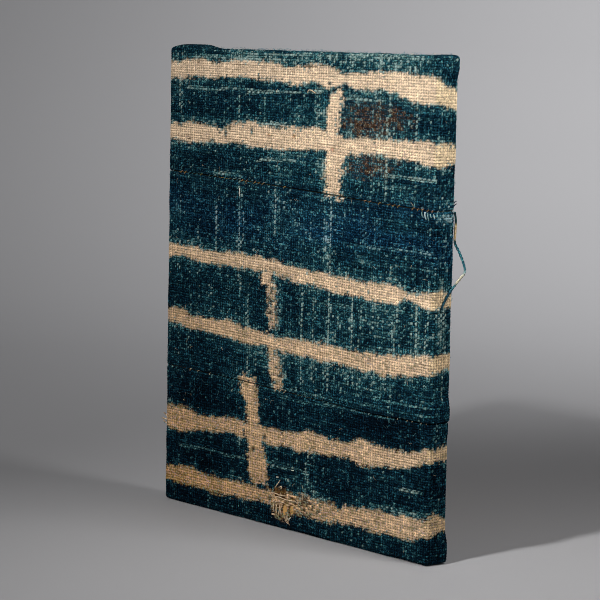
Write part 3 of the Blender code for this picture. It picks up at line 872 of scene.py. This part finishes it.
# Loose threads: thickness, colour, and a route of places along, up and off the cloth in millimetres
LOOSE_THREADS = [
    (0.60, "cream", ((88.5, 18.3, -0.2), (93, 18.5, 0.1), (97, 18.2, 0.2), (102, 18.5, -0.2))),
    (0.56, "cream", ((89.5, 16.6, -0.2), (96, 16.9, 0.1), (102, 16.5, 0.2), (109, 16.8, -0.2))),
    (0.56, "cream", ((90.5, 14.4, -0.2), (94, 14.1, 0.2), (97.5, 14.5, 0.1), (100.5, 14.2, -0.2))),
    (0.56, "cream", ((92, 13.5, 0.1), (92.2, 11, 0.5), (91.6, 8, 0))),
    (0.60, "cream", ((94.4, 13.2, 0), (94.2, 10.5, 0.6), (94.8, 8.2, 0.8))),
    (0.60, "cream", ((96.2, 13, 0), (96.6, 10.4, 0.4), (96, 7.6, 0.6))),
    (0.52, "cream", ((97.9, 12.6, 0), (97.6, 10, 0.5), (98.2, 7.8, 0.2))),
    (0.46, "cream", ((99.5, 8.6, 0), (101.2, 7.0, 0.9), (103.2, 7.4, 1.2), (104.4, 5.6, 0.9),
                     (103.4, 4.0, 0.2))),
    (0.46, "cream", ((102.4, 9.4, 0), (103.4, 7.6, 0.8), (103.0, 6.0, 1.0), (104.0, 4.2, 0.6),
                     (104.6, 3.0, 0))),
    (0.44, "cream", ((100.6, 7.6, 0), (101.8, 6.2, 0.8), (102.2, 4.6, 0.5), (103.2, 3.4, 0))),
    (0.56, "white", ((102.5, 8.2, 0.2), (103.4, 6.8, 0.9), (104.6, 6.4, 0.6), (105.4, 7.6, 0))),
    (0.50, "cream", ((92, 21, -0.1), (93.6, 22.5, 0.7), (95, 24, 0.8), (96.6, 26.6, 0.1))),
    (0.66, "white", ((93.4, 27.4, -0.1), (94.2, 27.8, 0.5), (95.0, 27.6, -0.1))),
    (0.66, "cream", ((97.1, 22.2, 0.1), (98.2, 22.1, 0.8), (98.5, 23.0, 0.8),
                     (97.4, 23.2, 0.7), (97.2, 22.5, 0.9))),
    (0.84, "cream", ((90, 6.6, -0.1), (91.4, 6.9, 0.6), (93, 6.6, -0.1))),
    (0.60, "cream", ((106.6, 13.4, 0), (107.3, 13.7, 0.4), (108, 13.4, 0))),
    (0.60, "cream", ((109, 13.1, 0), (109.6, 13.3, 0.4), (110.2, 13, 0))),
    (0.40, "brown", ((92.6, 19.6, -0.5), (94.6, 19.2, 0.1), (96.6, 20.2, 0))),
    (0.40, "brown", ((96.8, 20.6, -0.4), (98.8, 20, 0.2), (101, 20.6, -0.1))),
    (0.40, "brown", ((102.8, 12.8, -0.5), (104.4, 11.6, 0.2), (106.4, 12.4, 0))),
    (0.40, "brown", ((103.2, 10, -0.3), (104.8, 9.6, 0.4), (106.2, 10.4, 0))),
    (0.50, "cream", ((111.5, 235, 0), (113.5, 236.6, 0.7), (116, 236.2, 0.8), (118, 235, 0))),
    (0.56, "white", ((59.5, 179.8, 0), (59.8, 177.8, 0.4), (59.4, 174.8, 0))),
    (0.56, "white", ((105.2, 33.3, 0), (106, 33.5, 0.4), (106.8, 33.3, 0))),
    (0.60, "white", ((206.5, 254.6, 0), (207.4, 255.2, 0.5), (208.4, 254.6, 0))),
    (0.50, "dark", ((218.5, 186.4, 0), (219.6, 187.6, 1.0), (219.8, 188.2, 2.0))),
    (0.50, "dark", ((218.4, 185.0, 0), (219.8, 186.2, 1.0), (219.6, 187.0, 2.2))),
    (0.70, "cream", ((0.6, 46.0, -0.2), (-0.6, 47.0, 1.4), (0.2, 48.4, 2.6))),
    (0.80, "cream", ((0.4, 45.0, -0.2), (-0.2, 44.6, 1.8), (0.2, 45.6, 3.6))),
    (0.66, "cream", ((0.5, 42.4, -0.2), (-0.3, 42.8, 1.4), (0.0, 44.0, 2.8))),
    (0.30, "teal", ((0.3, 44, 0), (-0.5, 43.4, 1.2), (0.0, 42, 2.3))),
]
# Slack stitches at the upper seam's right end
for number in range(12):
    start = 196.5 + 2.0 * number
    wisp = ((start, 182.8, -0.2), (start + 0.5, 181.3, 0.35), (start + 1.3, 179.6 - number % 3, -0.2))
    LOOSE_THREADS.append((0.95, ("sea", "pale", "sea")[number % 3], wisp))

# Points to a strand, and how many cut ends of each kind and stray fibres there are
STITCH_POINTS = 9
LOOSE_POINTS = 17
FRINGE_COUNT = 300
FRINGE_POINTS = 7
FIBRE_COUNT = 3200
FIBRE_POINTS = 5
FRINGE_THICKNESS = 0.00042
FRINGE_START = 0.036


def on_cloth(along, level, lift):
    """Points that stand a little off the folded cloth."""
    flat = fold_round(along, level)
    nearest, out = outward(flat)
    points = nearest + (FOLD_RADIUS + lift)[:, None] * out
    points[:, 2] += sag(points[:, 0], flat[:, 2])
    return points


def round_route(route, count):
    """Points spread evenly over a smooth curve through a route's places."""
    places = np.array(route, float)
    run = np.linspace(0, len(places) - 1, count)
    whole = np.minimum(run.astype(int), len(places) - 2)
    t = (run - whole)[:, None]
    padded = np.concatenate((2 * places[:1] - places[1:2], places, 2 * places[-1:] - places[-2:-1]))
    a, b, c, d = (padded[whole + step] for step in range(4))
    curve = (2 * a - 5 * b + 4 * c - d) * t ** 2 + (3 * b - a - 3 * c + d) * t ** 3
    return 0.5 * (2 * b + (c - a) * t + curve)


def square_to(routes):
    """Two directions square to each route at every one of its points."""
    heading = np.gradient(routes, axis=1).reshape(-1, 3)
    heading /= np.linalg.norm(heading, axis=1, keepdims=True)
    beside = np.cross(heading, (0.31, 0.52, 0.79))
    beside /= np.linalg.norm(beside, axis=1, keepdims=True)
    return beside, np.cross(beside, heading)


def strand_mesh(name, routes, thickness, colours):
    """Many thin strands in one mesh: a grid cut into lengths, each rolled round its own route."""
    count, rings = routes.shape[:2]
    last = count * rings - 1
    grid = bmesh.new()
    bmesh.ops.create_grid(grid, x_segments=STRAND_SIDES, y_segments=last, size=0.5)
    between = [face for face in grid.faces
               if round((face.calc_center_median().y + 0.5) * last - 0.5) % rings == rings - 1]
    bmesh.ops.delete(grid, geom=between, context="FACES")
    mesh = bpy.data.meshes.new(name)
    grid.to_mesh(mesh)
    flat = read_points(mesh)
    turn = 2 * math.pi * np.rint((flat[:, 0] + 0.5) * STRAND_SIDES) / STRAND_SIDES
    ring = np.rint((flat[:, 1] + 0.5) * last).astype(int)
    beside, above = square_to(routes)
    taper = 1 - 0.7 * np.abs(np.linspace(-1, 1, rings)) ** 6
    radius = (thickness[:, None] / 2 * taper).ravel()[ring, None]
    rim = np.cos(turn)[:, None] * beside[ring] + np.sin(turn)[:, None] * above[ring]
    write_points(mesh, routes.reshape(-1, 3)[ring] + radius * rim)
    paint(mesh, "cloth_colour", np.repeat(colours, rings, axis=0)[ring])
    grid.clear()
    grid.from_mesh(mesh)
    bmesh.ops.remove_doubles(grid, verts=grid.verts, dist=1e-7)
    grid.to_mesh(mesh)
    grid.free()
    smooth_faces(mesh)
    return mesh


def stitch_routes(seam, rows):
    """Slanting stitches over one seam, and their colours."""
    routes, colours = [], []
    for start, end, tint in rows:
        for place in np.arange(math.ceil(start / STITCH_PITCH), end / STITCH_PITCH) * STITCH_PITCH:
            if scatter(place, seam * 1000, 37) < 0.3:
                continue
            wander = scatter(place, seam * 1000, 33) - 0.5
            slant = 0.4 + 0.8 * scatter(place, seam * 1000, 34)
            reach = 1.0 + 0.5 * wander
            leap = 0.10 + 0.25 * scatter(place, 35)
            places = ((place - slant, -reach, -0.5), (place - slant / 2, -0.5, leap),
                      (place + wander, 0.1, leap + 0.1), (place + slant / 2, 0.5, leap),
                      (place + slant, reach, -0.5))
            route = round_route(places, STITCH_POINTS) / 1000
            routes.append(on_cloth(route[:, 0], seam + route[:, 1], route[:, 2]))
            colours.append(np.array(TINTS[tint]) * (0.7 + 0.6 * scatter(place, 36)))
    return routes, colours


def place_strands(name, routes, thickness, colours):
    """Put many strands on the panel as one piece of dyed yarn."""
    strands = strand_mesh(name, np.array(routes), thickness, np.array(colours))
    place_piece(name, strands, CLOTH)


seam_routes, seam_colours = stitch_routes(UPPER_SEAM, UPPER_STITCHES)
more_routes, more_colours = stitch_routes(LOWER_SEAM, LOWER_STITCHES)
seam_thickness = 0.00030 + 0.00016 * scatter(np.arange(len(seam_routes + more_routes)), 38)
place_strands("seam_stitches", seam_routes + more_routes, seam_thickness, seam_colours + more_colours)

loose_routes = [round_route(places, LOOSE_POINTS) / 1000 for size, tint, places in LOOSE_THREADS]
place_strands("worn_threads", [on_cloth(*route.T) for route in loose_routes],
              np.array([size for size, tint, places in LOOSE_THREADS]) / 1000,
              [TINTS[tint] for size, tint, places in LOOSE_THREADS])

# Cut ends behind: weft ends beyond both side margins and warp ends beyond the turned ends
fringe_number = np.arange(FRINGE_COUNT)
fringe_share = fringe_number / (FRINGE_COUNT - 1)
fringe_odd = (fringe_number % 2 == 1)[:, None]
fringe_level = FRINGE_START + (HEIGHT - 2 * FRINGE_START) * fringe_share
fringe_level += 0.0008 * scatter(fringe_number, 41)
fringe_length = 0.0015 + 0.0035 * scatter(fringe_number, 42) ** 2
fringe_parts = np.linspace(-0.3, 1.0, FRINGE_POINTS)
fringe_run = fringe_length[:, None] * fringe_parts
fringe_bend = 0.0016 * (scatter(fringe_number, 43) - 0.5)[:, None] * fringe_parts ** 2
fringe_lift = np.interp(fringe_parts, (-0.3, 0.2, 1.0), (-0.0002, -0.0006, -0.0010))
fringe_lift = np.tile(fringe_lift, FRINGE_COUNT)
weft_reach = SIDE + MARGIN + fringe_run
weft_along = np.where(fringe_odd, FRONT + weft_reach, -weft_reach)
weft_ends = on_cloth(weft_along.ravel(), (fringe_level[:, None] + fringe_bend).ravel(), fringe_lift)
warp_along = 0.002 + (FRONT - 0.004) * fringe_share
warp_reach = SIDE + TURNED_ROWS * LOWER_SEAM / BOTTOM_ROWS + fringe_run
warp_level = np.where(fringe_odd, HEIGHT + warp_reach, -warp_reach)
warp_ends = on_cloth((warp_along[:, None] + fringe_bend).ravel(), warp_level.ravel(), fringe_lift)
fringe_routes = np.concatenate((weft_ends, warp_ends)).reshape(-1, FRINGE_POINTS, 3)
fringe_shade = 0.25 + 1.1 * scatter(np.arange(2 * FRINGE_COUNT), 44)[:, None]
place_strands("cut_ends", fringe_routes, np.full(2 * FRINGE_COUNT, FRINGE_THICKNESS),
              np.array(TINTS["teal"]) * fringe_shade)

# Stray fibres, a third of them along the folded edges where they show against the light
fibre = np.arange(FIBRE_COUNT)
fibre_along = -SIDE + (FRONT + 2 * SIDE) * scatter(fibre, 51)
fibre_along = np.where(fibre % 9 == 0, 0.0012 * scatter(fibre, 52), fibre_along)
fibre_along = np.where(fibre % 9 == 1, FRONT + SIDE - 0.0012 * scatter(fibre, 52), fibre_along)
fibre_level = HEIGHT * scatter(fibre, 53)
fibre_level = np.where(fibre % 9 == 2, HEIGHT + SIDE * scatter(fibre, 54), fibre_level)
fibre_parts = np.linspace(0, 1, FIBRE_POINTS)
fibre_heading = 2 * math.pi * scatter(fibre, 55)
fibre_length = 0.0008 + 0.0024 * scatter(fibre, 56) ** 2
fibre_curl = fibre_heading[:, None] + 2.6 * (scatter(fibre, 57) - 0.5)[:, None] * fibre_parts
fibre_run = fibre_length[:, None] * fibre_parts
fibre_rise = (0.0003 + 0.0011 * scatter(fibre, 58) ** 2)[:, None] * np.sin(2.2 * fibre_parts) - 0.0001
fibre_routes = on_cloth((fibre_along[:, None] + fibre_run * np.cos(fibre_curl)).ravel(),
                        (fibre_level[:, None] + fibre_run * np.sin(fibre_curl)).ravel(),
                        fibre_rise.ravel())
fibre_away = band_distance(fibre_along * 1000, fibre_level * 1000, 0.0)[0]
fibre_pale = (fibre_away < 0.5) | (scatter(fibre, 59) < 0.06)
fibre_colours = np.where(fibre_pale[:, None], TINTS["cream"], np.array(TINTS["teal"]) * 1.3)
fibre_routes[:, 2] = np.maximum(fibre_routes[:, 2], 0.0001)
place_strands("stray_fibres", fibre_routes.reshape(FIBRE_COUNT, FIBRE_POINTS, 3),
              0.00008 + 0.00008 * scatter(fibre, 60), fibre_colours)

# The loose yarn: a dyed weft end that has come out at the right edge. It leaves the back corner
# under the upper seam, bows out and is caught again on the side.
YARN_DIAMETER = 0.0011
YARN_STEP = 0.0013
YARN_ROUTE = [
    (0.1036, 0.0066, 0.1790), (0.1039, 0.0071, 0.1750), (0.1038, 0.0072, 0.1722),
    (0.1037, 0.0071, 0.1675), (0.1038, 0.0071, 0.1633), (0.1056, 0.0083, 0.1592),
    (0.1080, 0.0092, 0.1535), (0.1088, 0.0096, 0.1493), (0.1070, 0.0086, 0.1462),
    (0.1047, 0.0068, 0.1422), (0.1041, 0.0037, 0.1387), (0.1040, 0.0012, 0.1353),
    (0.1039, -0.0008, 0.1322), (0.1039, -0.0014, 0.1302),
]
YARN_LOW = 0.130
YARN_HIGH = 0.179
YARN_TINTS = [
    (0.00, (0.004, 0.020, 0.034, 1.0)), (0.20, (0.006, 0.030, 0.050, 1.0)),
    (0.25, (0.025, 0.100, 0.140, 1.0)), (0.28, (0.560, 0.500, 0.360, 1.0)),
    (0.36, (0.580, 0.560, 0.440, 1.0)), (0.39, (0.300, 0.460, 0.470, 1.0)),
    (0.42, (0.020, 0.095, 0.140, 1.0)), (0.55, (0.012, 0.070, 0.105, 1.0)),
    (0.70, (0.008, 0.042, 0.060, 1.0)), (0.735, (0.480, 0.340, 0.160, 1.0)),
    (0.86, (0.460, 0.330, 0.160, 1.0)), (0.895, (0.006, 0.022, 0.030, 1.0)),
]
PLY_THICKNESS = 0.00072
PLY_OFFSET = 0.00040
PLY_PITCH = 0.0036
PLY_POINTS = 160
CURVE_STEPS = 20


def route_at(route, run, places):
    """Points at some distances along a route."""
    return np.stack([np.interp(places, run, values) for values in route.T], axis=1)


def even_route(places, step):
    """Points at an even step along a smooth curve through a route's places, and its length."""
    fine = round_route(places, CURVE_STEPS * (len(places) - 1) + 1)
    run = np.concatenate(([0.0], np.cumsum(np.linalg.norm(np.diff(fine, axis=0), axis=1))))
    points = route_at(fine, run, np.linspace(0, run[-1], round(run[-1] / step) + 1))
    return points, float(np.linalg.norm(np.diff(points, axis=0), axis=1).sum())


def yarn_material():
    """Soft handspun yarn, dyed in lengths: blue, ochre, teal, pale and navy from top to end."""
    made, tree, surface, place = node_material("loose_yarn_cotton", 0.9)
    surface.inputs["Specular IOR Level"].default_value = 0.1
    level = add_node(tree, "SeparateXYZ", {"Vector": place})["Z"]
    run = map_range(tree, level, YARN_LOW, YARN_HIGH, 0.0, 1.0)
    lay_fibre(tree, surface, place, colour_ramp(tree, run, YARN_TINTS), 4200.0, 0.8, 0.00015)
    return made


yarn_points, yarn_length = even_route(YARN_ROUTE, YARN_STEP)
yarn_curve = bpy.data.curves.new("yarn_end", "CURVE")
yarn_curve.dimensions = "3D"
yarn_curve.bevel_depth = YARN_DIAMETER / 2
yarn_curve.bevel_resolution = 3
yarn_curve.use_fill_caps = True
yarn_spline = yarn_curve.splines.new("POLY")
yarn_spline.points.add(len(yarn_points) - 1)
for number, (target, point) in enumerate(zip(yarn_spline.points, yarn_points)):
    target.co = (*point, 1.0)
    target.radius = 1.0 + 0.12 * (scatter(number // 3, 31) - 0.5)
yarn = place_piece("yarn_end", yarn_curve, yarn_material())
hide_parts("loose_yarn")

ply_run = np.linspace(0, yarn_length, PLY_POINTS)
ply_middle = route_at(yarn_points, np.linspace(0, yarn_length, len(yarn_points)), ply_run)
ply_beside, ply_above = square_to(ply_middle[None])
ply_routes = []
for ply_start in (0.0, math.pi):
    ply_turn = ply_start + 2 * math.pi * ply_run / PLY_PITCH
    ply_wobble = PLY_OFFSET * (0.85 + 0.3 * scatter(np.arange(PLY_POINTS) // 9, ply_start, 61))
    ply_side = np.cos(ply_turn)[:, None] * ply_beside + np.sin(ply_turn)[:, None] * ply_above
    ply_routes.append(ply_middle + ply_wobble[:, None] * ply_side)
ply_mesh = strand_mesh("yarn_plies", np.array(ply_routes), np.full(2, PLY_THICKNESS), np.full((2, 3), 0.05))
place_piece("yarn_plies", ply_mesh, yarn_curve.materials[0])

# The stage: a pale grey floor that sweeps up behind. A small lamp and its beam high in front light
# the panel, one at the right fills its edge, and two light the backdrop.
CAMERA_AZIMUTH = math.radians(46.835)
CAMERA_ELEVATION = math.radians(7.03)
CAMERA_ROLL = math.radians(1.154)
CAMERA_DISTANCE = 1.15355
CAMERA_TARGET = Vector((0.00629, -0.0068, 0.12566))
CAMERA_LENS = 130.64
FLOOR_GREY = (0.340, 0.338, 0.352, 1.0)
SWEEP_START = 0.75
SWEEP_RADIUS = 0.35
SWEEP_WIDTH = 8
SWEEP_LENGTH = 7

ACROSS = Vector((math.cos(CAMERA_AZIMUTH), math.sin(CAMERA_AZIMUTH), 0))
AWAY = Vector((-math.sin(CAMERA_AZIMUTH), math.cos(CAMERA_AZIMUTH), 0))
UP = Vector((0, 0, 1))

view_from = UP * math.sin(CAMERA_ELEVATION) - AWAY * math.cos(CAMERA_ELEVATION)
camera_data = bpy.data.cameras.new("camera")
camera_data.sensor_width = 36
camera_data.lens = CAMERA_LENS
camera_data.clip_start = 0.01
camera = bpy.data.objects.new("camera", camera_data)
bpy.context.scene.collection.objects.link(camera)
camera.location = CAMERA_TARGET + view_from * CAMERA_DISTANCE
camera.rotation_mode = "QUATERNION"
camera.rotation_quaternion = (-view_from).to_track_quat("-Z", "Y") @ Quaternion((0, 0, 1), CAMERA_ROLL)
bpy.context.scene.camera = camera

sweep = bmesh.new()
bmesh.ops.create_grid(sweep, x_segments=2, y_segments=64, size=0.5)
for vertex in sweep.verts:
    side = vertex.co.x * SWEEP_WIDTH
    run = vertex.co.y * SWEEP_LENGTH
    turn = min(max((run - SWEEP_START) / SWEEP_RADIUS, 0.0), math.pi / 2)
    back = min(run, SWEEP_START) + SWEEP_RADIUS * math.sin(turn)
    rise = SWEEP_RADIUS * (1 - math.cos(turn))
    rise += max(run - SWEEP_START - SWEEP_RADIUS * math.pi / 2, 0.0)
    vertex.co = AWAY * back + ACROSS * side + UP * (rise - 0.0002)
sweep_mesh = bpy.data.meshes.new("sweep")
sweep.to_mesh(sweep_mesh)
sweep.free()
smooth_faces(sweep_mesh)
paper, _, paper_surface, _ = node_material("grey_paper", 0.85)
paper_surface.inputs["Base Color"].default_value = FLOOR_GREY
sweep_mesh.materials.append(paper)
floor = bpy.data.objects.new("sweep", sweep_mesh)
bpy.context.scene.collection.objects.link(floor)


def soft_light(name, place, aim, size, power, spread, colour):
    """A square soft box that points at a place."""
    data = bpy.data.lights.new(name, "AREA")
    data.shape = "SQUARE"
    data.size = size
    data.energy = power
    data.spread = math.radians(spread)
    data.color = colour
    light = bpy.data.objects.new(name, data)
    light.location = place
    light.rotation_mode = "QUATERNION"
    light.rotation_quaternion = (Vector(aim) - Vector(place)).to_track_quat("-Z", "Y")
    bpy.context.scene.collection.objects.link(light)


KEY_PLACE = (0.076, -0.63, 0.655)
WARM = (1.0, 0.99, 0.97)
PAPER_WHITE = (1.0, 1.0, 0.99)
soft_light("key", KEY_PLACE, (0.03, 0.0, 0.10), 0.05, 3.25, 180, WARM)
soft_light("key_beam", KEY_PLACE, (0.09, 0.0, 0.14), 0.05, 0.27, 44, WARM)
soft_light("side", (0.349, 0.062, 0.357), (0.0, 0.0, 0.10), 0.12, 0.95, 180, WARM)
soft_light("wall", ACROSS * 0.80 + AWAY * 0.40 + UP * 0.62, ACROSS * -0.25 + AWAY * 1.15 + UP * 0.06,
           0.3, 3.5, 95, PAPER_WHITE)
soft_light("wall_top", ACROSS * 1.1 + AWAY * 0.6 + UP * 0.9, ACROSS * 0.5 + AWAY * 1.2 + UP * 0.45,
           0.3, 1.0, 80, PAPER_WHITE)
world = bpy.data.worlds.new("studio")
world.use_nodes = True
ambient = world.node_tree.nodes["Background"].inputs
ambient["Color"].default_value = (0.92, 0.96, 1.0, 1.0)
ambient["Strength"].default_value = 0.04
bpy.context.scene.world = world
bpy.context.scene.view_settings.view_transform = "Standard"
bpy.context.scene.cycles.filter_width = 0.9
